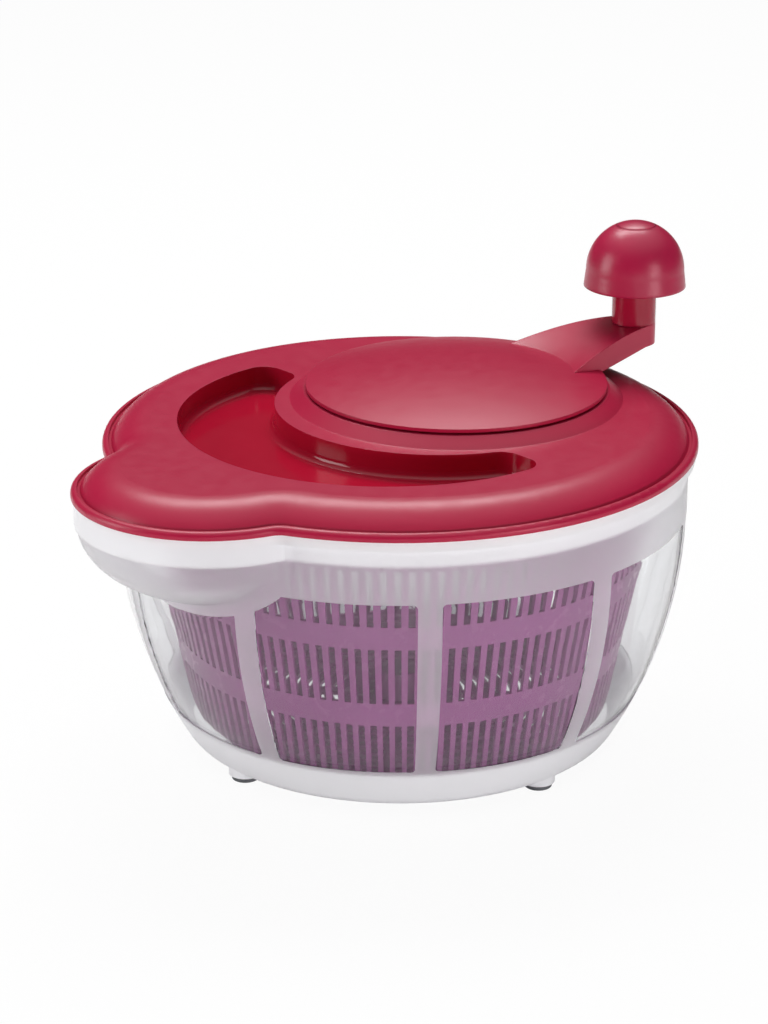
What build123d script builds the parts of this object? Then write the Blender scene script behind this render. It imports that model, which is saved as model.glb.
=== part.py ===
import math
import os

from build123d import *

# Salad spinner in millimetres. The origin is on the bowl's axis, on the surface that the feet stand on.
# The pouring spout points along -X, and the crank's axis lies on +X.

# Plan of the rim: a circle and the spout's lobe, blended at two notches
rim_radius = 130.0
lobe_radius = 59.5
lobe_offset = 103.5
notch_round = 8.0

# Feet
foot_count = 4
foot_inset = 6.0
foot_radius = 6.0
foot_height = 2.5
foot_spigot_radius = 4.0
foot_spigot_height = 2.0
foot_boss_margin = 1.2
foot_boss_height = 1.5

# Bowl
bowl_height = 132.5
bowl_wall = 2.4
bowl_base_radius = 96.0
bowl_overhang = 4.0
belly_height = 105.0
heel_round = 8.0
lip_inset = 1.0
lip_height = 4.5
spout_overhang = 2.0
spout_band = 12.0
spout_depth = 32.0
spout_blend = 10.0
window_count = 10
window_bar = 10.0
window_low = 21.0
window_top_margin = 28.5
window_depth = 0.5
window_corner = 2.0
window_spout_margin = 5.0

# Cone in the bowl's floor, and the pivot cap that turns on it
cone_base_radius = 11.0
cone_top_radius = 5.5
cone_height = 16.0
pivot_gap = 0.3
pivot_wall = 1.6
pivot_flange = 5.0
pivot_flange_height = 2.0

# Basket
basket_floor_gap = 6.6
basket_side_gap = 8.1
basket_base_inset = 3.0
basket_drop = 9.5
basket_wall = 2.0
basket_heel_round = 8.0
basket_lip = 3.0
basket_lip_height = 2.5
slot_rows = 3
slot_count = 120
slot_width = 2.8
slot_first = 3.4
slot_row_gap = 11.0
slot_top_margin = 9.1
floor_rings = 9
floor_ring_start = 28.4
floor_ring_pitch = 6.4
floor_slot_width = 2.4
floor_spokes = 8
floor_spoke_width = 5.0

# Lid
lid_wall = 2.5
lid_rise = 11.6
flange_height = 3.3
bead_width = 2.8
bead_round = 2.2
groove_width = 1.2
groove_depth = 1.2
shoulder_slope = 57.0
ledge_height = 2.5
skirt_depth = 5.0
skirt_wall = 2.0
skirt_gap = 0.8

# Crescent recess in the lid
recess_margin = 38.3
recess_shift = 7.0
recess_core_offset = 22.5
recess_core_radius = 72.4
recess_end = -1.0
recess_end_round = 9.0
recess_depth = 11.0
recess_floor_round = 3.5

# Gear train: a ring under the crank drives a pinion on the bowl's axis
crank_offset = 33.0
ring_teeth = 60
pinion_teeth = 15
pressure_angle = 20.0
backlash = 0.3
gear_face = 9.0
gear_gap = 1.2
ring_rim = 5.0
ring_flange_height = 2.5
ring_flange_margin = 0.6
pinion_shaft_radius = 7.0
pinion_flat = 5.0

# Gear well on the lid, and the low cone round the crank
well_depth = 8.5
well_gap = 4.0
crank_boss_wall = 3.4
crank_boss_height = 9.0
pinion_boss_wall = 4.0
cone_ring_gap = 1.0
cone_ring_width = 6.0
cone_ring_rise = 4.5

# Crank handle
disc_overlap = 3.9
disc_gap = 0.9
disc_edge = 1.5
disc_dome = 8.0
crank_wall = 2.5
crank_hub_radius = 8.0
arm_angle = -10.0
arm_length = 96.0
arm_crease_inset = 14.5
arm_root_half = 27.0
arm_rise = 9.5
arm_end_thickness = 9.8
arm_rib = 1.8

# Knob and its post
post_radius = 10.0
post_height = 16.8
post_spigot_radius = 5.5
post_spigot_depth = 6.0
spindle_radius = 4.5
spindle_height = 16.0
knob_radius = 23.2
knob_height = 29.7
knob_skirt_height = 7.5
knob_taper = 0.9
knob_wall = 2.6
knob_sleeve_wall = 3.0
knob_gap = 0.3
knob_cap_radius = 8.6
knob_cap_gap = 0.15
knob_cap_height = 2.0

# Drive plate under the lid
plate_thickness = 2.0
plate_rib_height = 2.0
plate_rib_width = 1.8
plate_rib_count = 8
plate_gap = 0.3
plate_hub_wall = 5.0
plate_hub_drop = 7.0
plate_hub_web = 2.0
dog_count = 6
dog_width = 9.0
dog_depth = 4.5
dog_gap = 0.5

# Screws and washers
screw_radius = 1.5
screw_head_radius = 2.9
screw_head_height = 2.2
screw_length = 8.0
ring_screw_count = 4
ring_boss_wall = 2.1
axle_screw_radius = 2.0
axle_screw_length = 12.0
axle_head_radius = 4.2
axle_head_height = 2.4
washer_height = 1.2
washer_margin = 2.0

# Clearances
running_gap = 0.05
assembly_gap = 0.1
end_gap = 0.3

# Levels, from the feet up
base_z = foot_height + foot_boss_height
rim_z = base_z + bowl_height
lid_top_z = rim_z + lid_rise
cone_ring_z = lid_top_z + cone_ring_rise
disc_z = cone_ring_z + disc_gap
dome_edge_z = disc_z + disc_edge
bowl_floor_z = base_z + bowl_wall
basket_z = bowl_floor_z + basket_floor_gap
basket_top_z = rim_z - basket_drop
plate_z = basket_top_z + plate_gap
plate_top_z = plate_z + plate_thickness
hub_top_z = plate_top_z + plate_rib_height
hub_under_z = plate_z - plate_hub_drop
well_z = lid_top_z - well_depth
well_under_z = well_z - lid_wall
gear_z = well_z + gear_gap
gear_top_z = gear_z + gear_face
pinion_boss_z = hub_top_z + end_gap
crank_hub_z = well_under_z - end_gap

# Radii, from the rim and from the gears
bowl_radius = rim_radius - bowl_overhang
spout_radius = lobe_radius - spout_overhang
wall_run = bowl_radius - bowl_base_radius
wall_arc = (wall_run**2 + belly_height**2) / (2 * wall_run)
foot_circle = bowl_base_radius - foot_inset
basket_top_radius = bowl_radius - bowl_wall - basket_side_gap
basket_base_radius = bowl_base_radius - basket_base_inset
flange_width = bead_width + groove_width
skirt_inset = bowl_overhang + bowl_wall + skirt_gap
shoulder_turn = math.radians(shoulder_slope)
shoulder_z = rim_z + flange_height - groove_depth
shoulder_line = (lid_top_z - shoulder_z) / math.sin(shoulder_turn)
shoulder_round = 0.95 * shoulder_line / math.tan(shoulder_turn / 2)
hollow_z = rim_z + ledge_height
hollow_line = (lid_top_z - lid_wall - hollow_z) / math.sin(shoulder_turn)
hollow_round = 0.9 * hollow_line / math.tan(shoulder_turn / 2)
hollow_inset = flange_width + lid_wall / math.sin(shoulder_turn)
gear_module = 2 * crank_offset / (ring_teeth - pinion_teeth)
ring_pitch_radius = gear_module * ring_teeth / 2
ring_outer_radius = ring_pitch_radius + 1.25 * gear_module + ring_rim
ring_screw_circle = ring_outer_radius + screw_head_radius + 1.0
ring_boss_radius = screw_radius + ring_boss_wall
ring_flange_radius = ring_screw_circle + ring_boss_radius + ring_flange_margin
well_radius = ring_flange_radius + well_gap
disc_radius = well_radius + disc_overlap
cone_ring_inner = disc_radius + cone_ring_gap
cone_ring_outer = cone_ring_inner + cone_ring_width
arm_crease = disc_radius - arm_crease_inset
dome_sphere = (disc_radius**2 + disc_dome**2) / (2 * disc_dome)

# Axes and planes
crank_axis = Axis((crank_offset, 0, 0), (0, 0, 1))
crank_plane = Plane((crank_offset, 0, 0))
crank_section = Plane((crank_offset, 0, 0), x_dir=(1, 0, 0), z_dir=(0, -1, 0))
arm_plane = crank_plane.rotated((0, 0, arm_angle))
arm_section = Plane(arm_plane.origin, x_dir=arm_plane.x_dir, z_dir=-arm_plane.y_dir)
spout_axis = Axis((-lobe_offset, 0, 0), (0, 0, 1))
spout_section = Plane((-lobe_offset, 0, 0), x_dir=(1, 0, 0), z_dir=(0, -1, 0))
knob_centre = arm_plane.from_local_coords((arm_length, 0, 0))
knob_axis = Axis(knob_centre, (0, 0, 1))
knob_plane = Plane(knob_centre)
knob_section = Plane(knob_centre, x_dir=(1, 0, 0), z_dir=(0, -1, 0))


def dome_height(radius):
    # Top of the crank's dome at a distance from the crank's axis
    return dome_edge_z + disc_dome - dome_sphere + math.sqrt(dome_sphere**2 - radius**2)


arm_top_z = dome_height(arm_crease) + arm_rise
arm_under_z = arm_top_z - arm_end_thickness
post_top_z = arm_top_z + post_height
knob_z = post_top_z + knob_gap
spindle_top_z = post_top_z + spindle_height


def rim_plan(inset):
    # The rim's plan, offset inward. Drawing it large and offsetting it back rounds the notches.
    with BuildSketch() as plan:
        Circle(rim_radius + notch_round)
        with Locations((-lobe_offset, 0)):
            Circle(lobe_radius + notch_round)
        offset(amount=-notch_round - inset)
    return plan.sketch


def wall_point(height, inset):
    # Point of the bowl's wall at a height over its underside, offset inward
    rise = max(belly_height - height, 0)
    radius = bowl_radius - wall_arc + math.sqrt((wall_arc - inset) ** 2 - rise**2)
    return (radius, base_z + height)


def spout_dish(inset, top_z):
    # Half section of the spout's dish, offset inward
    band_z = rim_z - spout_band
    radius = spout_radius - inset
    with BuildSketch() as section:
        with BuildLine():
            EllipticalCenterArc((0, band_z), radius, spout_depth - inset, 270, arc_size=90)
            Polyline((radius, band_z), (radius, top_z), (0, top_z), (0, band_z - spout_depth + inset))
        make_face()
    return section.sketch


def bowl_form(inset, top_z):
    # The bowl as a full body: a curved pot and the spout's dish, blended where they meet
    heel = wall_point(inset, inset)
    knee = wall_point(belly_height, inset)
    with BuildPart() as form:
        with BuildSketch(Plane.XZ):
            with BuildLine():
                Line((0, base_z + inset), heel)
                TangentArc(knee, heel, tangent=(0, -1))
                Polyline(knee, (bowl_radius - inset, top_z), (0, top_z), (0, base_z + inset))
            make_face()
        revolve(axis=Axis.Z)
        fillet(form.edges().group_by(Axis.Z)[0], heel_round - inset)
        with BuildSketch(spout_section):
            add(spout_dish(inset, top_z))
        revolve(axis=spout_axis)
        seam = form.edges(Select.NEW).filter_by(lambda e: e.center().Z < top_z - 0.1)
        fillet(seam, spout_blend + inset)
    return form.part


def basket_form(inset, top_z):
    # The basket as a full body, offset inward
    slope = (basket_top_radius - basket_base_radius) / (basket_top_z - basket_z)
    low = basket_base_radius + slope * inset - inset
    high = basket_base_radius + slope * (top_z - basket_z) - inset
    with BuildPart() as form:
        with BuildSketch(Plane.XZ):
            with BuildLine():
                Polyline((0, basket_z + inset), (low, basket_z + inset), (high, top_z), (0, top_z), close=True)
            make_face()
        revolve(axis=Axis.Z)
        fillet(form.edges().group_by(Axis.Z)[0], basket_heel_round - inset)
    return form.part


def pivot_cone(grow, low_z):
    # The pivot cone's outside, grown by a layer, from a level up
    slope = (cone_base_radius - cone_top_radius) / cone_height
    top_z = bowl_floor_z + cone_height + grow
    low = cone_base_radius - slope * (low_z - bowl_floor_z) + grow
    with BuildSketch() as section:
        with BuildLine():
            Polyline((0, low_z), (low, low_z), (cone_top_radius + grow, top_z), (0, top_z), close=True)
        make_face()
    return section.sketch


def gear_plan(teeth, root, tip, play):
    # Involute gear outline with one tooth at 180 degrees, thinned by play at the pitch circle
    pitch = gear_module * teeth / 2
    base = pitch * math.cos(math.radians(pressure_angle))

    def half_tooth(radius):
        turn = math.acos(base / max(radius, base))
        pitch_turn = math.radians(pressure_angle)
        spread = math.tan(pitch_turn) - pitch_turn - math.tan(turn) + turn
        return math.pi / (2 * teeth) - play / (2 * pitch) + spread

    points = []
    for tooth in range(teeth):
        middle = math.pi + 2 * math.pi * tooth / teeth
        flank = [(r, half_tooth(r)) for r in (root, pitch, tip)]
        for radius, half in flank:
            points.append((radius * math.cos(middle - half), radius * math.sin(middle - half)))
        for radius, half in reversed(flank):
            points.append((radius * math.cos(middle + half), radius * math.sin(middle + half)))
    with BuildSketch() as plan:
        with BuildLine():
            Polyline(*points, close=True)
        make_face()
    return plan.sketch


def recess_plan(grow):
    # The crescent between the spout and the crank, with round ends
    with BuildSketch() as plan:
        with Locations((-recess_shift, 0)):
            Circle(rim_radius - recess_margin)
        with Locations((recess_core_offset, 0)):
            Circle(recess_core_radius, mode=Mode.SUBTRACT)
        with Locations((recess_end, 0)):
            Rectangle(4 * rim_radius, 4 * rim_radius, align=(Align.MAX, Align.CENTER), mode=Mode.INTERSECT)
        fillet(plan.vertices(), recess_end_round)
        offset(amount=grow)
    return plan.sketch


def arm_plan(inset):
    # The arm's outline: wide at the dome and round at the knob, offset inward
    with BuildSketch() as plan:
        with Locations((arm_length, 0)):
            Circle(post_radius - inset)
        with Locations((arm_crease - arm_crease_inset, 0)):
            Circle(arm_root_half - inset)
        make_hull()
    return plan.sketch


def axle_screw(seat_z):
    # Half section of a pan-head screw that points up, with its head under a seat
    low_z = seat_z - axle_head_height
    tip_z = seat_z + axle_screw_length
    with BuildSketch() as section:
        with BuildLine():
            Polyline(
                (0, low_z),
                (axle_head_radius, low_z),
                (axle_head_radius, seat_z),
                (axle_screw_radius, seat_z),
                (axle_screw_radius, tip_z),
                (0, tip_z),
                close=True,
            )
        make_face()
    return section.sketch


os.makedirs("parts", exist_ok=True)

# Windows: shallow fields in the bowl's wall between the upright bars, kept clear of the spout
window_high = bowl_height - window_top_margin
window_middle = (window_low + window_high) / 2
window_turn = 360 / window_count - math.degrees(window_bar / bowl_radius)
window_start = math.radians(180 - window_turn / 2)
window_section = Plane(
    (0, 0, 0),
    x_dir=(math.cos(window_start), math.sin(window_start), 0),
    z_dir=(math.sin(window_start), -math.cos(window_start), 0),
)
with BuildPart() as window:
    with BuildSketch(window_section):
        with BuildLine():
            heights = (window_low, window_middle, window_high)
            inside = ThreePointArc(*[wall_point(h, window_depth) for h in heights])
            outside = ThreePointArc(*[wall_point(h, -1) for h in heights])
            Line(inside @ 0, outside @ 0)
            Line(inside @ 1, outside @ 1)
        make_face()
    revolve(axis=Axis.Z, revolution_arc=window_turn)
    fillet(window.edges().filter_by(lambda e: e.length < 2), window_corner)

with BuildPart() as windows:
    with PolarLocations(0, window_count):
        add(window.part)
    with BuildSketch(spout_section):
        add(spout_dish(-window_spout_margin, rim_z))
    revolve(axis=spout_axis, mode=Mode.SUBTRACT)

with BuildPart() as bowl:
    add(bowl_form(0, rim_z))
    with BuildSketch(Plane.XY.offset(rim_z)):
        add(rim_plan(lip_inset))
    extrude(amount=-lip_height)
    with BuildSketch(Plane.XY.offset(rim_z)):
        with Locations((-lobe_offset, 0)):
            Circle(lobe_radius - lip_inset)
    extrude(amount=-spout_band)
    with BuildSketch(Plane.XY.offset(foot_height)):
        with PolarLocations(foot_circle, foot_count):
            Circle(foot_radius + foot_boss_margin)
    extrude(amount=foot_boss_height + heel_round)
    add(windows.part, mode=Mode.SUBTRACT)
    add(bowl_form(bowl_wall, rim_z), mode=Mode.SUBTRACT)
    with BuildSketch(Plane.XZ):
        add(pivot_cone(0, base_z + bowl_wall / 2))
    revolve(axis=Axis.Z)
    with BuildSketch(Plane.XY.offset(foot_height)):
        with PolarLocations(foot_circle, foot_count):
            Circle(foot_spigot_radius + assembly_gap)
    extrude(amount=foot_spigot_height + assembly_gap, mode=Mode.SUBTRACT)
bowl.part.label = "bowl"
export_step(bowl.part, "parts/bowl.step")

foot_sites = PolarLocations(foot_circle, foot_count).locations
for number, site in enumerate(foot_sites, start=1):
    with BuildPart() as foot:
        with BuildSketch(Plane(site.position)):
            Circle(foot_radius)
        extrude(amount=foot_height)
        with BuildSketch(Plane(site.position).offset(foot_height)):
            Circle(foot_spigot_radius)
        extrude(amount=foot_spigot_height)
        fillet(foot.edges().group_by(Axis.Z)[0], foot_height / 4)
    foot.part.label = f"foot_{number}"
    export_step(foot.part, f"parts/foot_{number}.step")

# The pivot cap turns with the basket on the bowl's cone. Its flange carries the basket's floor.
pivot_low_z = basket_z - pivot_flange_height
pivot_layer = pivot_gap + pivot_wall
socket_layer = pivot_layer + pivot_gap
with BuildPart() as pivot_cap:
    with BuildSketch(Plane.XZ):
        add(pivot_cone(pivot_layer, pivot_low_z))
    revolve(axis=Axis.Z)
    with BuildSketch(Plane.XY.offset(pivot_low_z)):
        Circle(cone_base_radius + pivot_layer + pivot_flange)
    extrude(amount=pivot_flange_height)
    with BuildSketch(Plane.XZ):
        add(pivot_cone(pivot_gap, pivot_low_z))
    revolve(axis=Axis.Z, mode=Mode.SUBTRACT)
pivot_cap.part.label = "pivot_cap"
export_step(pivot_cap.part, "parts/pivot_cap.step")

# Basket: a slotted cone with a lip, notches for the drive plate's dogs, and a socket over the pivot cap
basket_height = basket_top_z - basket_z
slot_height = (basket_height - slot_first - slot_top_margin - (slot_rows - 1) * slot_row_gap) / slot_rows
slot_radius = (basket_base_radius + basket_top_radius) / 2
slot_reach = basket_top_radius - basket_base_radius + 8 * basket_wall
standing = (Align.CENTER, Align.CENTER, Align.MIN)
with BuildPart() as basket:
    add(basket_form(0, basket_top_z))
    with BuildSketch(Plane.XY.offset(basket_top_z)):
        Circle(basket_top_radius + basket_lip)
    extrude(amount=-basket_lip_height)
    add(basket_form(basket_wall, basket_top_z), mode=Mode.SUBTRACT)
    for row in range(slot_rows):
        row_z = basket_z + slot_first + row * (slot_height + slot_row_gap)
        with Locations((0, 0, row_z)), PolarLocations(slot_radius, slot_count):
            Box(slot_reach, slot_width, slot_height, align=standing, mode=Mode.SUBTRACT)
    with BuildSketch(Plane.XY.offset(basket_z)):
        for ring in reversed(range(floor_rings)):
            ring_inner = floor_ring_start + ring * floor_ring_pitch
            Circle(ring_inner + floor_slot_width)
            Circle(ring_inner, mode=Mode.SUBTRACT)
        with PolarLocations(0, floor_spokes):
            Rectangle(basket_base_radius, floor_spoke_width, align=(Align.MIN, Align.CENTER), mode=Mode.SUBTRACT)
    extrude(amount=basket_wall, mode=Mode.SUBTRACT)
    with BuildSketch(Plane.XY.offset(basket_top_z)):
        with PolarLocations(basket_top_radius, dog_count):
            Rectangle(4 * basket_lip + 2 * basket_wall, dog_width + 2 * dog_gap)
    extrude(amount=-dog_depth - dog_gap, mode=Mode.SUBTRACT)
    with BuildSketch(Plane.XZ):
        add(pivot_cone(socket_layer + basket_wall, basket_z))
    revolve(axis=Axis.Z)
    with BuildSketch(Plane.XZ):
        add(pivot_cone(socket_layer, basket_z))
    revolve(axis=Axis.Z, mode=Mode.SUBTRACT)
basket.part.label = "basket"
export_step(basket.part, "parts/basket.step")

# Drive plate: a ribbed disc whose dogs drop into the basket's rim
dog_inner = basket_top_radius - basket_wall - dog_gap
dog_outer = basket_top_radius + basket_lip
plate_hub_radius = pinion_shaft_radius + plate_hub_wall
with BuildPart() as drive_plate:
    with BuildSketch(Plane.XY.offset(plate_z)):
        Circle(dog_outer)
    extrude(amount=plate_thickness)
    with BuildSketch(Plane.XY.offset(plate_top_z)):
        with PolarLocations((plate_hub_radius + dog_inner) / 2, plate_rib_count):
            Rectangle(dog_inner - plate_hub_radius + plate_rib_width, plate_rib_width)
    extrude(amount=plate_rib_height, taper=10)
    with BuildSketch(Plane.XY.offset(hub_under_z)):
        Circle(plate_hub_radius)
    extrude(amount=hub_top_z - hub_under_z)
    with BuildSketch(Plane.XY.offset(plate_z)):
        with PolarLocations((dog_inner + dog_outer) / 2, dog_count):
            Rectangle(dog_outer - dog_inner, dog_width)
        Circle(dog_outer, mode=Mode.INTERSECT)
    extrude(amount=-dog_depth)
    with BuildSketch(Plane.XY.offset(hub_top_z)):
        Circle(pinion_shaft_radius + assembly_gap)
        Rectangle(4 * pinion_shaft_radius, 2 * (pinion_flat + assembly_gap), mode=Mode.INTERSECT)
    extrude(amount=hub_under_z + plate_hub_web - hub_top_z, mode=Mode.SUBTRACT)
    with BuildSketch(Plane.XY.offset(hub_under_z)):
        Circle(axle_screw_radius + assembly_gap)
    extrude(amount=plate_hub_web, mode=Mode.SUBTRACT)
drive_plate.part.label = "drive_plate"
export_step(drive_plate.part, "parts/drive_plate.step")

# Drive pinion: its shaft runs in the lid's boss and its flats carry the drive plate
shaft_end_z = hub_under_z + plate_hub_web
pinion_pitch = gear_module * pinion_teeth / 2
with BuildPart() as drive_pinion:
    with BuildSketch(Plane.XY.offset(gear_z)):
        add(gear_plan(pinion_teeth, pinion_pitch - 1.25 * gear_module, pinion_pitch + gear_module, backlash))
    extrude(amount=gear_face)
    with BuildSketch(Plane.XY.offset(gear_z)):
        Circle(pinion_shaft_radius)
    extrude(amount=hub_top_z - gear_z)
    with BuildSketch(Plane.XY.offset(gear_z)):
        Circle(pinion_shaft_radius + pinion_boss_wall)
    extrude(amount=well_z - gear_z)
    with BuildSketch(Plane.XY.offset(hub_top_z)):
        Circle(pinion_shaft_radius)
        Rectangle(4 * pinion_shaft_radius, 2 * pinion_flat, mode=Mode.INTERSECT)
    extrude(amount=shaft_end_z - hub_top_z)
    with BuildSketch(Plane.XY.offset(shaft_end_z)):
        Circle(axle_screw_radius + assembly_gap)
    extrude(amount=axle_screw_length, mode=Mode.SUBTRACT)
drive_pinion.part.label = "drive_pinion"
export_step(drive_pinion.part, "parts/drive_pinion.step")

drive_washer_z = hub_under_z - washer_height
with BuildPart() as drive_washer:
    with BuildSketch(Plane.XY.offset(drive_washer_z)):
        Circle(axle_head_radius + washer_margin)
        Circle(axle_screw_radius + assembly_gap, mode=Mode.SUBTRACT)
    extrude(amount=washer_height)
drive_washer.part.label = "drive_washer"
export_step(drive_washer.part, "parts/drive_washer.step")

with BuildPart() as drive_screw:
    with BuildSketch(Plane.XZ):
        add(axle_screw(drive_washer_z))
    revolve(axis=Axis.Z)
drive_screw.part.label = "drive_screw"
export_step(drive_screw.part, "parts/drive_screw.step")

# Lid: the hollow under its top follows the rim's plan
with BuildPart() as lid_hollow:
    with BuildSketch(Plane.XY.offset(hollow_z)):
        add(rim_plan(hollow_inset))
    extrude(amount=lid_top_z - lid_wall - hollow_z, taper=90 - shoulder_slope)
    fillet(lid_hollow.edges().group_by(Axis.Z)[-1], hollow_round)

recess_z = lid_top_z - recess_depth
with BuildPart() as recess:
    with BuildSketch(Plane.XY.offset(recess_z)):
        add(recess_plan(0))
    extrude(amount=recess_depth)
    fillet(recess.edges().group_by(Axis.Z)[0], recess_floor_round)

with BuildPart() as recess_tray:
    with BuildSketch(Plane.XY.offset(recess_z - lid_wall)):
        add(recess_plan(lid_wall))
    extrude(amount=recess_depth)
    fillet(recess_tray.edges().group_by(Axis.Z)[0], recess_floor_round + lid_wall)

with BuildPart() as lid:
    with BuildSketch(Plane.XY.offset(rim_z)):
        add(rim_plan(0))
    extrude(amount=flange_height)
    fillet(lid.edges().group_by(Axis.Z)[-1], bead_round)
    with BuildSketch(Plane.XY.offset(rim_z + flange_height)):
        add(rim_plan(bead_width))
    extrude(amount=-groove_depth, mode=Mode.SUBTRACT)
    with BuildSketch(Plane.XY.offset(shoulder_z)):
        add(rim_plan(flange_width))
    extrude(amount=lid_top_z - shoulder_z, taper=90 - shoulder_slope)
    fillet(lid.edges().group_by(Axis.Z)[-1], shoulder_round)
    with Locations((crank_offset, 0, lid_top_z)):
        Cone(cone_ring_outer, cone_ring_inner, cone_ring_rise, align=(Align.CENTER, Align.CENTER, Align.MIN))
    add(lid_hollow.part, mode=Mode.SUBTRACT)
    with BuildSketch(Plane.XY.offset(rim_z)):
        add(rim_plan(skirt_inset + skirt_wall))
    extrude(amount=ledge_height, mode=Mode.SUBTRACT)
    with BuildSketch(Plane.XY.offset(rim_z)):
        add(rim_plan(skirt_inset))
        add(rim_plan(skirt_inset + skirt_wall), mode=Mode.SUBTRACT)
    extrude(amount=-skirt_depth)
    add(recess_tray.part)
    with BuildSketch(crank_plane.offset(well_under_z)):
        Circle(well_radius + lid_wall)
    extrude(amount=lid_top_z - well_under_z)
    add(recess.part, mode=Mode.SUBTRACT)
    with BuildSketch(crank_plane.offset(well_z)):
        Circle(well_radius)
    extrude(amount=cone_ring_z - well_z, mode=Mode.SUBTRACT)
    with BuildSketch(crank_plane.offset(well_z)):
        Circle(crank_hub_radius + crank_boss_wall)
    extrude(amount=crank_boss_height)
    with BuildSketch(Plane.XY.offset(pinion_boss_z)):
        Circle(pinion_shaft_radius + pinion_boss_wall)
    extrude(amount=well_z - pinion_boss_z)
    with BuildSketch(crank_plane.offset(well_under_z)):
        Circle(crank_hub_radius + running_gap)
    extrude(amount=lid_wall + crank_boss_height, mode=Mode.SUBTRACT)
    with BuildSketch(Plane.XY.offset(pinion_boss_z)):
        Circle(pinion_shaft_radius + running_gap)
    extrude(amount=well_z - pinion_boss_z, mode=Mode.SUBTRACT)
lid.part.label = "lid"
export_step(lid.part, "parts/lid.step")

# Ring gear: an internal ring with a flange that screws up against the crank's bosses
ring_root = ring_pitch_radius + 1.25 * gear_module
ring_tip = ring_pitch_radius - gear_module
with BuildPart() as ring_gear:
    with BuildSketch(crank_plane.offset(gear_z)):
        Circle(ring_outer_radius)
    extrude(amount=gear_face)
    with BuildSketch(crank_plane.offset(gear_top_z)):
        Circle(ring_flange_radius)
    extrude(amount=-ring_flange_height)
    with BuildSketch(crank_plane.offset(gear_z)):
        add(gear_plan(ring_teeth, ring_tip, ring_root, -backlash))
    extrude(amount=gear_face, mode=Mode.SUBTRACT)
    with BuildSketch(crank_plane.offset(gear_top_z)):
        with PolarLocations(ring_screw_circle, ring_screw_count, start_angle=180 / ring_screw_count):
            Circle(screw_radius + assembly_gap)
    extrude(amount=-ring_flange_height, mode=Mode.SUBTRACT)
ring_gear.part.label = "ring_gear"
export_step(ring_gear.part, "parts/ring_gear.step")

ring_screw_z = gear_top_z - ring_flange_height - screw_head_height
with BuildPart() as ring_gear_screws:
    with BuildSketch(crank_plane.offset(ring_screw_z)):
        with PolarLocations(ring_screw_circle, ring_screw_count, start_angle=180 / ring_screw_count):
            Circle(screw_head_radius)
    extrude(amount=screw_head_height)
    with BuildSketch(crank_plane.offset(ring_screw_z)):
        with PolarLocations(ring_screw_circle, ring_screw_count, start_angle=180 / ring_screw_count):
            Circle(screw_radius)
    extrude(amount=screw_head_height + screw_length)
ring_gear_screws.part.label = "ring_gear_screws"
export_step(ring_gear_screws.part, "parts/ring_gear_screws.step")

# Crank handle: a shallow dome with a broad arm that rises from a crease and levels out at the knob
arm_bore_z = arm_top_z - post_spigot_depth
with BuildPart() as arm:
    with BuildSketch(arm_plane.offset(disc_z)):
        add(arm_plan(0))
    extrude(amount=arm_top_z - disc_z)
    crease_point = (arm_crease, dome_height(arm_crease))
    level_point = (arm_length, arm_top_z)
    end_x = arm_length + 2 * post_radius
    root_x = arm_crease - crank_wall
    edge_x = disc_radius - crank_wall / 2
    with BuildSketch(arm_section):
        with BuildLine():
            TangentArc(level_point, crease_point, tangent=(-1, 0))
            Polyline(
                crease_point,
                (root_x, dome_height(root_x) - crank_wall / 2),
                (edge_x, dome_height(edge_x) - crank_wall / 2),
                (edge_x, disc_z),
                (arm_length, arm_under_z),
                (end_x, arm_under_z),
                (end_x, arm_top_z),
                level_point,
            )
        make_face()
    revolve(axis=crank_axis, mode=Mode.INTERSECT)

arm_boss_radius = post_spigot_radius + crank_wall
with BuildPart() as arm_hollow:
    with BuildSketch(arm_plane.offset(disc_z)):
        add(arm_plan(crank_wall))
        Circle(disc_radius, mode=Mode.SUBTRACT)
        with Locations((arm_length, 0)):
            Circle(arm_boss_radius, mode=Mode.SUBTRACT)
        with Locations(((disc_radius + arm_length) / 2, 0)):
            Rectangle(arm_length, arm_rib, mode=Mode.SUBTRACT)
            Rectangle(arm_rib, 4 * arm_root_half, mode=Mode.SUBTRACT)
    extrude(amount=arm_top_z - disc_z)
    with BuildSketch(arm_section):
        with BuildLine():
            lower = (arm_crease, dome_height(arm_crease) - crank_wall)
            level = (arm_length, arm_top_z - crank_wall)
            TangentArc(level, lower, tangent=(-1, 0))
            Polyline(lower, (arm_crease, disc_z), (end_x, disc_z), (end_x, arm_top_z - crank_wall), level)
        make_face()
    revolve(axis=crank_axis, mode=Mode.INTERSECT)

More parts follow.
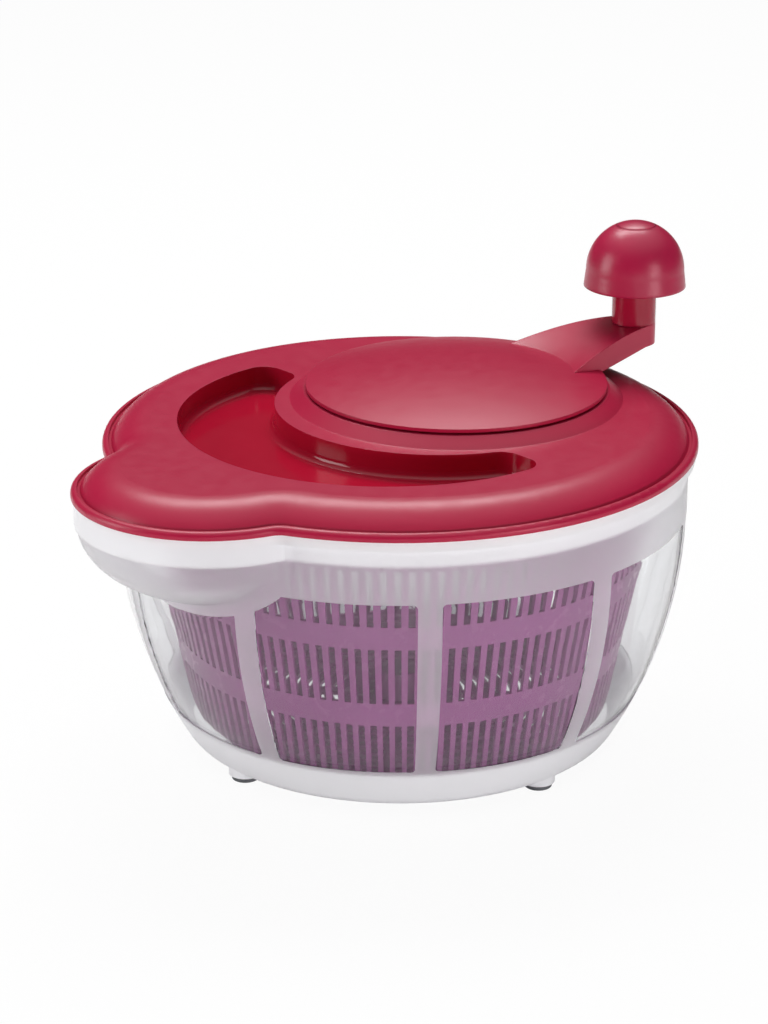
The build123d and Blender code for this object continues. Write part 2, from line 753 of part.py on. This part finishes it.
with BuildPart() as crank_handle:
    rim_inner = disc_radius - crank_wall
    with BuildSketch(crank_section):
        with BuildLine():
            ThreePointArc(
                (0, dome_height(0)),
                (disc_radius / 2, dome_height(disc_radius / 2)),
                (disc_radius, dome_edge_z),
            )
            Polyline(
                (disc_radius, dome_edge_z),
                (disc_radius, disc_z),
                (rim_inner, disc_z),
                (rim_inner, dome_height(rim_inner) - crank_wall),
            )
            ThreePointArc(
                (rim_inner, dome_height(rim_inner) - crank_wall),
                (rim_inner / 2, dome_height(rim_inner / 2) - crank_wall),
                (0, dome_height(0) - crank_wall),
            )
            Line((0, dome_height(0) - crank_wall), (0, dome_height(0)))
        make_face()
    revolve(axis=crank_axis)
    add(arm.part)
    add(arm_hollow.part, mode=Mode.SUBTRACT)
    with BuildSketch(crank_plane.offset(crank_hub_z)):
        Circle(crank_hub_radius)
    extrude(amount=dome_height(crank_hub_radius) - crank_wall / 2 - crank_hub_z)
    with BuildSketch(crank_plane.offset(gear_top_z)):
        with PolarLocations(ring_screw_circle, ring_screw_count, start_angle=180 / ring_screw_count):
            Circle(ring_boss_radius)
    extrude(amount=dome_height(ring_screw_circle + ring_boss_radius) - crank_wall / 2 - gear_top_z)
    with BuildSketch(crank_plane.offset(gear_top_z)):
        with PolarLocations(ring_screw_circle, ring_screw_count, start_angle=180 / ring_screw_count):
            Circle(screw_radius + assembly_gap)
    extrude(amount=screw_length - ring_flange_height + assembly_gap, mode=Mode.SUBTRACT)
    with BuildSketch(crank_plane.offset(crank_hub_z)):
        Circle(axle_screw_radius + assembly_gap)
    extrude(amount=axle_screw_length, mode=Mode.SUBTRACT)
    with BuildSketch(knob_plane.offset(arm_top_z)):
        Circle(post_spigot_radius + assembly_gap)
    extrude(amount=-post_spigot_depth, mode=Mode.SUBTRACT)
    with BuildSketch(knob_plane.offset(arm_under_z)):
        Circle(axle_screw_radius + assembly_gap)
    extrude(amount=arm_bore_z - arm_under_z, mode=Mode.SUBTRACT)
    with BuildSketch(knob_plane.offset(arm_under_z)):
        Circle(axle_head_radius + assembly_gap)
    extrude(amount=disc_z - arm_under_z, mode=Mode.SUBTRACT)
crank_handle.part.label = "crank_handle"
export_step(crank_handle.part, "parts/crank_handle.step")

crank_washer_z = crank_hub_z - washer_height
with BuildPart() as crank_washer:
    with BuildSketch(crank_plane.offset(crank_washer_z)):
        Circle(crank_hub_radius + washer_margin)
        Circle(axle_screw_radius + assembly_gap, mode=Mode.SUBTRACT)
    extrude(amount=washer_height)
crank_washer.part.label = "crank_washer"
export_step(crank_washer.part, "parts/crank_washer.step")

with BuildPart() as crank_screw:
    with BuildSketch(crank_section):
        add(axle_screw(crank_washer_z))
    revolve(axis=crank_axis)
crank_screw.part.label = "crank_screw"
export_step(crank_screw.part, "parts/crank_screw.step")

# Knob post: a plain spigot on the arm, with the spindle that the knob turns on
with BuildPart() as knob_post:
    with BuildSketch(knob_plane.offset(arm_bore_z)):
        Circle(post_spigot_radius)
    extrude(amount=post_spigot_depth)
    with BuildSketch(knob_plane.offset(arm_top_z)):
        Circle(post_radius)
    extrude(amount=post_height)
    with BuildSketch(knob_plane.offset(post_top_z)):
        Circle(spindle_radius)
    extrude(amount=spindle_height)
    with BuildSketch(knob_plane.offset(arm_bore_z)):
        Circle(axle_screw_radius + assembly_gap)
    extrude(amount=axle_screw_length, mode=Mode.SUBTRACT)
    with BuildSketch(knob_plane.offset(spindle_top_z)):
        Circle(screw_radius + assembly_gap)
    extrude(amount=-screw_length, mode=Mode.SUBTRACT)
knob_post.part.label = "knob_post"
export_step(knob_post.part, "parts/knob_post.step")

with BuildPart() as post_screw:
    with BuildSketch(knob_section):
        add(axle_screw(arm_under_z))
    revolve(axis=knob_axis)
post_screw.part.label = "post_screw"
export_step(post_screw.part, "parts/post_screw.step")

# Knob: a hollow mushroom with a sleeve round the spindle and a seat for the cap
skirt_top_z = knob_z + knob_skirt_height
dome_radius = knob_radius - knob_taper
knob_dome = knob_height - knob_skirt_height
knob_top_z = knob_z + knob_height
sleeve_top_z = spindle_top_z - end_gap
knob_sphere = (dome_radius**2 + knob_dome**2) / (2 * knob_dome)
cap_edge_z = knob_top_z - knob_sphere + math.sqrt(knob_sphere**2 - knob_cap_radius**2)
cap_seat_z = cap_edge_z - knob_cap_height


def knob_form(inset):
    # Half section of the knob's outside, offset inward and open below
    with BuildSketch() as section:
        with BuildLine():
            TangentArc((0, knob_top_z - inset), (dome_radius - inset, skirt_top_z), tangent=(1, 0))
            Polyline(
                (dome_radius - inset, skirt_top_z),
                (knob_radius - inset, knob_z),
                (0, knob_z),
                (0, knob_top_z - inset),
            )
        make_face()
    return section.sketch


with BuildPart() as knob_hollow:
    with BuildSketch(knob_section):
        add(knob_form(knob_wall))
    revolve(axis=knob_axis)
    with BuildSketch(knob_plane.offset(knob_z)):
        Circle(spindle_radius + knob_sleeve_wall)
    extrude(amount=knob_height, mode=Mode.SUBTRACT)
    with BuildSketch(knob_plane.offset(sleeve_top_z - knob_wall)):
        Circle(knob_radius)
    extrude(amount=knob_height, mode=Mode.SUBTRACT)

with BuildPart() as knob:
    with BuildSketch(knob_section):
        add(knob_form(0))
    revolve(axis=knob_axis)
    add(knob_hollow.part, mode=Mode.SUBTRACT)
    with BuildSketch(knob_plane.offset(knob_z)):
        Circle(spindle_radius + running_gap)
    extrude(amount=knob_height, mode=Mode.SUBTRACT)
    with BuildSketch(knob_plane.offset(sleeve_top_z)):
        Circle(knob_cap_radius - washer_margin / 2)
    extrude(amount=knob_height, mode=Mode.SUBTRACT)
    with BuildSketch(knob_plane.offset(cap_seat_z)):
        Circle(knob_cap_radius + knob_cap_gap)
    extrude(amount=knob_height, mode=Mode.SUBTRACT)
knob.part.label = "knob"
export_step(knob.part, "parts/knob.step")

with BuildPart() as knob_cap:
    with BuildSketch(knob_section):
        add(knob_form(0))
        with Locations((0, cap_seat_z)):
            Rectangle(knob_cap_radius, knob_height, align=(Align.MIN, Align.MIN), mode=Mode.INTERSECT)
    revolve(axis=knob_axis)
knob_cap.part.label = "knob_cap"
export_step(knob_cap.part, "parts/knob_cap.step")

with BuildPart() as knob_washer:
    with BuildSketch(knob_plane.offset(spindle_top_z)):
        Circle(spindle_radius + washer_margin / 2)
        Circle(screw_radius + assembly_gap, mode=Mode.SUBTRACT)
    extrude(amount=washer_height)
knob_washer.part.label = "knob_washer"
export_step(knob_washer.part, "parts/knob_washer.step")

with BuildPart() as knob_screw:
    with BuildSketch(knob_plane.offset(spindle_top_z + washer_height)):
        Circle(screw_head_radius)
    extrude(amount=screw_head_height)
    with BuildSketch(knob_plane.offset(spindle_top_z + washer_height)):
        Circle(screw_radius)
    extrude(amount=-screw_length)
knob_screw.part.label = "knob_screw"
export_step(knob_screw.part, "parts/knob_screw.step")
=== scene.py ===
import math

import bpy
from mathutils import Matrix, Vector

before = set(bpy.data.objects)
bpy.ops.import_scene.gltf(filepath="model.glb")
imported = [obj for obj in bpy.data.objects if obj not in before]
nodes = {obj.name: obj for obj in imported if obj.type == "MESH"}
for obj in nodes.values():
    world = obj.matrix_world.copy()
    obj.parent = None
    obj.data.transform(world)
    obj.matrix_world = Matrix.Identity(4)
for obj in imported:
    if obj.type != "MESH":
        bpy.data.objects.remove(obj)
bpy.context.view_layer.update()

scene = bpy.context.scene
scene.view_settings.view_transform = "Standard"
print("frame loaded,", len(nodes), "nodes")


def newTree(name):
    material = bpy.data.materials.new(name)
    material.use_nodes = True
    tree = material.node_tree
    tree.nodes.clear()
    output = tree.nodes.new("ShaderNodeOutputMaterial")
    return material, tree, output


def addNode(tree, kind, inputs=None, **settings):
    node = tree.nodes.new(kind)
    for name, value in settings.items():
        setattr(node, name, value)
    for name, value in (inputs or {}).items():
        node.inputs[name].default_value = value
    return node


def noiseOver(tree, place, size, detail=2.0, rough=0.5):
    noise = addNode(tree, "ShaderNodeTexNoise", {"Scale": 1 / size, "Detail": detail, "Roughness": rough})
    tree.links.new(place.outputs["Object"], noise.inputs["Vector"])
    return noise.outputs["Fac"]


def spread(tree, value, low, high, fromLow=0.3, fromHigh=0.7):
    mapped = addNode(tree, "ShaderNodeMapRange", {
        "From Min": fromLow, "From Max": fromHigh, "To Min": low, "To Max": high})
    tree.links.new(value, mapped.inputs["Value"])
    return mapped.outputs["Result"]


def between(tree, factor, low, high):
    mix = addNode(tree, "ShaderNodeMix", data_type="RGBA")
    mix.inputs[6].default_value = (*low, 1)
    mix.inputs[7].default_value = (*high, 1)
    tree.links.new(factor, mix.inputs[0])
    return mix.outputs[2]


def grainBump(tree, look):
    return addNode(tree, "ShaderNodeBump", {"Strength": look["grainStrength"], "Distance": look["grainDepth"]})


def mouldedPlastic(name, look):
    # tone drifts slowly over the moulding, roughness over a few millimetres, and grain is the mould's texture
    material, tree, output = newTree(name)
    place = addNode(tree, "ShaderNodeTexCoord")
    shader = addNode(tree, "ShaderNodeBsdfPrincipled", {
        "IOR": 1.5, "Metallic": look.get("metallic", 0.0), "Specular IOR Level": look.get("shine", 0.5)})
    tone = spread(tree, noiseOver(tree, place, look["toneSize"]), 0.0, 1.0)
    tree.links.new(between(tree, tone, look["dark"], look["light"]), shader.inputs["Base Color"])
    handled = noiseOver(tree, place, look["handledSize"], 3.0)
    tree.links.new(spread(tree, handled, *look["roughness"]), shader.inputs["Roughness"])
    bump = grainBump(tree, look)
    tree.links.new(noiseOver(tree, place, look["grainSize"], 3.0, 0.6), bump.inputs["Height"])
    tree.links.new(bump.outputs["Normal"], shader.inputs["Normal"])
    if "edgeRound" in look:
        bevel = addNode(tree, "ShaderNodeBevel", {"Radius": look["edgeRound"]}, samples=6)
        tree.links.new(bevel.outputs["Normal"], bump.inputs["Normal"])
    surface = shader.outputs["BSDF"]
    if "glow" in look:
        veil = addNode(tree, "ShaderNodeBsdfTranslucent", {"Color": (*look["glowColor"], 1)})
        thin = addNode(tree, "ShaderNodeMixShader", {"Fac": look["glow"]})
        tree.links.new(surface, thin.inputs[1])
        tree.links.new(veil.outputs["BSDF"], thin.inputs[2])
        surface = thin.outputs["Shader"]
    tree.links.new(surface, output.inputs["Surface"])
    return material


# sizes in metres; each pair is a low and a high end that noise moves between
lidLook = {
    "dark": (0.43, 0.008, 0.048), "light": (0.465, 0.01, 0.054), "toneSize": 0.09, "handledSize": 0.006,
    "roughness": (0.32, 0.38), "grainSize": 0.0006, "grainDepth": 0.00006, "grainStrength": 0.3,
    "edgeRound": 0.0006, "shine": 0.42}
recessLook = {
    "dark": (0.42, 0.006, 0.028), "light": (0.45, 0.008, 0.033), "toneSize": 0.05, "handledSize": 0.008,
    "roughness": (0.1, 0.16), "grainSize": 0.002, "grainDepth": 0.00004, "grainStrength": 0.15, "shine": 0.4}
knobLook = {
    "dark": (0.42, 0.011, 0.056), "light": (0.46, 0.014, 0.064), "toneSize": 0.03, "handledSize": 0.004,
    "roughness": (0.28, 0.34), "grainSize": 0.0005, "grainDepth": 0.00005, "grainStrength": 0.3,
    "edgeRound": 0.0018}
postLook = {
    "dark": (0.34, 0.006, 0.03), "light": (0.38, 0.008, 0.035), "toneSize": 0.02, "handledSize": 0.004,
    "roughness": (0.12, 0.2), "grainSize": 0.001, "grainDepth": 0.00003, "grainStrength": 0.15}
basketLook = {
    "dark": (0.29, 0.088, 0.235), "light": (0.34, 0.108, 0.275), "toneSize": 0.06, "handledSize": 0.005,
    "roughness": (0.2, 0.3), "grainSize": 0.0015, "grainDepth": 0.00005, "grainStrength": 0.2,
    "glow": 0.38, "glowColor": (0.6, 0.28, 0.53)}
rubberLook = {
    "dark": (0.12, 0.125, 0.135), "light": (0.17, 0.175, 0.19), "toneSize": 0.006, "handledSize": 0.002,
    "roughness": (0.6, 0.75), "grainSize": 0.0004, "grainDepth": 0.00008, "grainStrength": 0.5}
gearLook = {
    "dark": (0.72, 0.72, 0.68), "light": (0.8, 0.8, 0.77), "toneSize": 0.02, "handledSize": 0.003,
    "roughness": (0.38, 0.5), "grainSize": 0.0006, "grainDepth": 0.00005, "grainStrength": 0.3}
steelLook = {
    "dark": (0.5, 0.5, 0.51), "light": (0.62, 0.62, 0.63), "toneSize": 0.002, "handledSize": 0.0008,
    "roughness": (0.22, 0.4), "grainSize": 0.0003, "grainDepth": 0.00003, "grainStrength": 0.3, "metallic": 1.0}

lidRed = mouldedPlastic("lid_red", lidLook)
recessRed = mouldedPlastic("recess_red", recessLook)
knobRed = mouldedPlastic("knob_red", knobLook)
postRed = mouldedPlastic("post_red", postLook)
basketPlum = mouldedPlastic("basket_plum", basketLook)
footRubber = mouldedPlastic("foot_rubber", rubberLook)
gearWhite = mouldedPlastic("gear_white", gearLook)
screwSteel = mouldedPlastic("screw_steel", steelLook)

clearLook = {"ior": 1.49, "tint": (0.95, 0.952, 0.958), "edgeTint": (0.6, 0.6, 0.63), "edgeBlend": 0.24,
             "polish": (0.02, 0.04), "through": 1.0, "shadowTint": (0.9, 0.9, 0.91), "wornSize": 0.004,
             "grainSize": 0.02, "grainDepth": 0.0002, "grainStrength": 0.1}
frostLook = {"ior": 1.49, "tint": (0.95, 0.94, 0.965), "polish": (0.28, 0.33), "through": 0.69,
             "rimThrough": 0.14, "rimZ": (0.1235, 0.1255), "baseThrough": 0.05, "baseZ": (0.0215, 0.0245),
             "shadowTint": (0.8, 0.8, 0.82), "wornSize": 0.004,
             "grainSize": 0.0006, "grainDepth": 0.00006, "grainStrength": 0.3}


def seeThroughPlastic(name, look):
    # a solid wall that bends light; lamps reach what is inside, dimmed by the shadow tint
    material, tree, output = newTree(name)
    place = addNode(tree, "ShaderNodeTexCoord")
    shader = addNode(tree, "ShaderNodeBsdfPrincipled", {
        "IOR": look["ior"], "Transmission Weight": look["through"], "Base Color": (*look["tint"], 1)})
    if "edgeTint" in look:
        facing = addNode(tree, "ShaderNodeLayerWeight", {"Blend": look["edgeBlend"]})
        tinted = between(tree, facing.outputs["Facing"], look["tint"], look["edgeTint"])
        tree.links.new(tinted, shader.inputs["Base Color"])
    worn = noiseOver(tree, place, look["wornSize"], 3.0)
    tree.links.new(spread(tree, worn, *look["polish"]), shader.inputs["Roughness"])
    bump = grainBump(tree, look)
    tree.links.new(noiseOver(tree, place, look["grainSize"]), bump.inputs["Height"])
    tree.links.new(bump.outputs["Normal"], shader.inputs["Normal"])
    if "rimThrough" in look:
        axes = addNode(tree, "ShaderNodeSeparateXYZ")
        tree.links.new(place.outputs["Object"], axes.inputs["Vector"])
        rim = spread(tree, axes.outputs["Z"], look["through"], look["rimThrough"], *look["rimZ"])
        base = spread(tree, axes.outputs["Z"], look["baseThrough"], look["through"], *look["baseZ"])
        least = addNode(tree, "ShaderNodeMath", operation="MINIMUM")
        tree.links.new(rim, least.inputs[0])
        tree.links.new(base, least.inputs[1])
        tree.links.new(least.outputs["Value"], shader.inputs["Transmission Weight"])
    shade = addNode(tree, "ShaderNodeBsdfTransparent", {"Color": (*look["shadowTint"], 1)})
    path = addNode(tree, "ShaderNodeLightPath")
    mix = addNode(tree, "ShaderNodeMixShader")
    tree.links.new(path.outputs["Is Shadow Ray"], mix.inputs["Fac"])
    tree.links.new(shader.outputs["BSDF"], mix.inputs[1])
    tree.links.new(shade.outputs["BSDF"], mix.inputs[2])
    tree.links.new(mix.outputs["Shader"], output.inputs["Surface"])
    return material


bowlClear = seeThroughPlastic("bowl_clear", clearLook)
bowlFrost = seeThroughPlastic("bowl_frost", frostLook)
print("materials made:", len(bpy.data.materials))


def dress(names, material):
    for name in names:
        slots = nodes[name].data.materials
        slots.clear()
        slots.append(material)


dress(["foot_1", "foot_2", "foot_3", "foot_4"], footRubber)
dress(["basket", "drive_plate"], basketPlum)
dress(["pivot_cap", "drive_pinion", "ring_gear"], gearWhite)
dress(["lid", "crank_handle"], lidRed)
dress(["knob", "knob_cap"], knobRed)
dress(["knob_post"], postRed)
dress(["drive_washer", "drive_screw", "ring_gear_screws", "crank_washer", "crank_screw", "post_screw",
       "knob_washer", "knob_screw"], screwSteel)
bowlPlan = {"baseZ": 0.004, "belly": 0.105, "wallRadius": 0.126, "baseRadius": 0.096, "windowDepth": 0.0005,
            "windowLow": 0.0248, "windowHigh": 0.1082, "spoutX": -0.1035, "coneRadius": 0.012,
            "underZ": 0.006}


def bowlZone(centre, normal, plan):
    # 0 for the frosted outside, 1 for the clear windows and the polished inside
    reach = math.hypot(centre.x, centre.y)
    run = plan["wallRadius"] - plan["baseRadius"]
    arc = (run ** 2 + plan["belly"] ** 2) / (2 * run)
    drop = max(plan["baseZ"] + plan["belly"] - centre.z, 0.0)
    wall = plan["wallRadius"] - arc + math.sqrt(max(arc ** 2 - drop ** 2, 0.0))
    heart = Vector((0, 0, 0.1)) if reach < plan["wallRadius"] + 0.0004 else Vector((plan["spoutX"], 0, 0.135))
    under = normal.z < -0.9 and centre.z < plan["underZ"]
    if under or reach < plan["coneRadius"] or normal.dot(centre - heart) < 0:
        return 1
    sunk = 0.6 * plan["windowDepth"] < wall - reach < 2 * plan["windowDepth"]
    return 1 if sunk and plan["windowLow"] < centre.z < plan["windowHigh"] else 0


bowlMesh = nodes["bowl"].data
bowlMesh.materials.clear()
for finish in (bowlFrost, bowlClear):
    bowlMesh.materials.append(finish)
for face in bowlMesh.polygons:
    face.material_index = bowlZone(face.center, face.normal, bowlPlan)
clearFaces = sum(face.material_index for face in bowlMesh.polygons)
print("bowl faces, clear:", clearFaces, "of", len(bowlMesh.polygons))

recessPlan = {"coreX": 0.0225, "coreRadius": 0.0722, "outerX": -0.007, "outerRadius": 0.0919, "endX": -0.0008,
              "floorZ": 0.1369, "topZ": 0.148}


def inRecess(centre, plan):
    fromCore = math.hypot(centre.x - plan["coreX"], centre.y)
    fromOuter = math.hypot(centre.x - plan["outerX"], centre.y)
    return (plan["floorZ"] < centre.z < plan["topZ"] and centre.x < plan["endX"]
            and fromCore > plan["coreRadius"] and fromOuter < plan["outerRadius"])


lidMesh = nodes["lid"].data
lidMesh.materials.append(recessRed)
for face in lidMesh.polygons:
    face.material_index = 1 if inRecess(face.center, recessPlan) else 0
print("lid faces in the recess:", sum(face.material_index for face in lidMesh.polygons))
print("nodes dressed")

cameraLook = {"target": (0.0, 0.0, 0.084), "azimuth": -41.5, "elevation": 21.2, "distance": 1.2899,
              "lens": 102.02, "shift": (-0.016, 0.03535)}
turn, rise = math.radians(cameraLook["azimuth"]), math.radians(cameraLook["elevation"])
back = Vector((math.sin(turn) * math.cos(rise), -math.cos(turn) * math.cos(rise), math.sin(rise)))
cameraData = bpy.data.cameras.new("camera")
camera = bpy.data.objects.new("camera", cameraData)
scene.collection.objects.link(camera)
camera.location = Vector(cameraLook["target"]) + back * cameraLook["distance"]
camera.rotation_euler = (-back).to_track_quat("-Z", "Y").to_euler()
cameraData.lens = cameraLook["lens"]
cameraData.sensor_width = 36.0
cameraData.shift_x, cameraData.shift_y = cameraLook["shift"]
scene.camera = camera
print("camera set")


def softbox(name, look):
    lamp = bpy.data.lights.new(name, "AREA")
    lamp.shape = "RECTANGLE"
    lamp.size, lamp.size_y = look["size"]
    lamp.energy = look["watts"]
    box = bpy.data.objects.new(name, lamp)
    scene.collection.objects.link(box)
    box.location = look["place"]
    aim = Vector(look["aim"]) - Vector(look["place"])
    box.rotation_euler = aim.to_track_quat("-Z", "Y").to_euler()
    return box


boxLooks = {
    "back_box": {"place": (0.5, 0.7, 1.6), "aim": (0, 0, 0.12), "size": (1.2, 0.6), "watts": 19},
    "left_box": {"place": (-1.15, 0.7, 0.5), "aim": (0, 0, 0.14), "size": (0.6, 0.9), "watts": 7.5},
    "front_fill": {"place": (-0.38, -1.46, 0.12), "aim": (0, 0, 0.05), "size": (1.8, 0.2), "watts": 11.5},
    "right_card": {"place": (0.15, -1.5, 0.35), "aim": (0.1, 0, 0.17), "size": (0.5, 0.7), "watts": 5}}
boxes = {name: softbox(name, look) for name, look in boxLooks.items()}
# the fill lights the front without a mirror image, and the card is only a mirror image on the knob
boxes["front_fill"].visible_glossy = False
boxes["right_card"].visible_diffuse = False
boxes["right_card"].visible_transmission = False

worldLook = {"seen": 1.0, "horizon": 0.04, "zenith": 1.0, "heights": (0.55, 0.95),
             "brightSide": (0.12, 0.13, 0.98)}
world = bpy.data.worlds.new("studio")
scene.world = world
world.use_nodes = True
sky = world.node_tree
sky.nodes.clear()
skyOut = addNode(sky, "ShaderNodeOutputWorld")
skyLit = addNode(sky, "ShaderNodeBackground")
skySeen = addNode(sky, "ShaderNodeBackground", {"Strength": worldLook["seen"]})
for lit in (skyLit, skySeen):
    lit.inputs["Color"].default_value = (1, 1, 1, 1)
skyPlace = addNode(sky, "ShaderNodeTexCoord")
skyFacing = addNode(sky, "ShaderNodeVectorMath", operation="DOT_PRODUCT")
sky.links.new(skyPlace.outputs["Generated"], skyFacing.inputs[0])
skyFacing.inputs[1].default_value = worldLook["brightSide"]
skyRange = (worldLook["horizon"], worldLook["zenith"], *worldLook["heights"])
skyLevel = spread(sky, skyFacing.outputs["Value"], *skyRange)
sky.links.new(skyLevel, skyLit.inputs["Strength"])


def seenRays(tree):
    path = addNode(tree, "ShaderNodeLightPath")
    either = addNode(tree, "ShaderNodeMath", operation="MAXIMUM")
    tree.links.new(path.outputs["Is Camera Ray"], either.inputs[0])
    tree.links.new(path.outputs["Is Transmission Ray"], either.inputs[1])
    return either.outputs["Value"]


skyMix = addNode(sky, "ShaderNodeMixShader")
sky.links.new(seenRays(sky), skyMix.inputs["Fac"])
sky.links.new(skyLit.outputs["Background"], skyMix.inputs[1])
sky.links.new(skySeen.outputs["Background"], skyMix.inputs[2])
sky.links.new(skyMix.outputs["Shader"], skyOut.inputs["Surface"])

floorLook = {"half": 6.0, "color": (0.88, 0.88, 0.88), "whiteShare": 0.94}
floorMesh = bpy.data.meshes.new("floor")
half = floorLook["half"]
floorCorners = [(-half, -half, 0), (half, -half, 0), (half, half, 0), (-half, half, 0)]
floorMesh.from_pydata(floorCorners, [], [(0, 1, 2, 3)])
floor = bpy.data.objects.new("floor", floorMesh)
scene.collection.objects.link(floor)
floorPaint, floorTree, floorOut = newTree("floor_white")
paint = addNode(floorTree, "ShaderNodeBsdfDiffuse", {"Color": (*floorLook["color"], 1)})
glow = addNode(floorTree, "ShaderNodeEmission", {"Color": (1, 1, 1, 1), "Strength": 1.0})
share = addNode(floorTree, "ShaderNodeMath", operation="MULTIPLY")
share.inputs[1].default_value = floorLook["whiteShare"]
floorTree.links.new(seenRays(floorTree), share.inputs[0])
floorMix = addNode(floorTree, "ShaderNodeMixShader")
floorTree.links.new(share.outputs["Value"], floorMix.inputs["Fac"])
floorTree.links.new(paint.outputs["BSDF"], floorMix.inputs[1])
floorTree.links.new(glow.outputs["Emission"], floorMix.inputs[2])
floorTree.links.new(floorMix.outputs["Shader"], floorOut.inputs["Surface"])
floorMesh.materials.append(floorPaint)
print("lights and floor set")
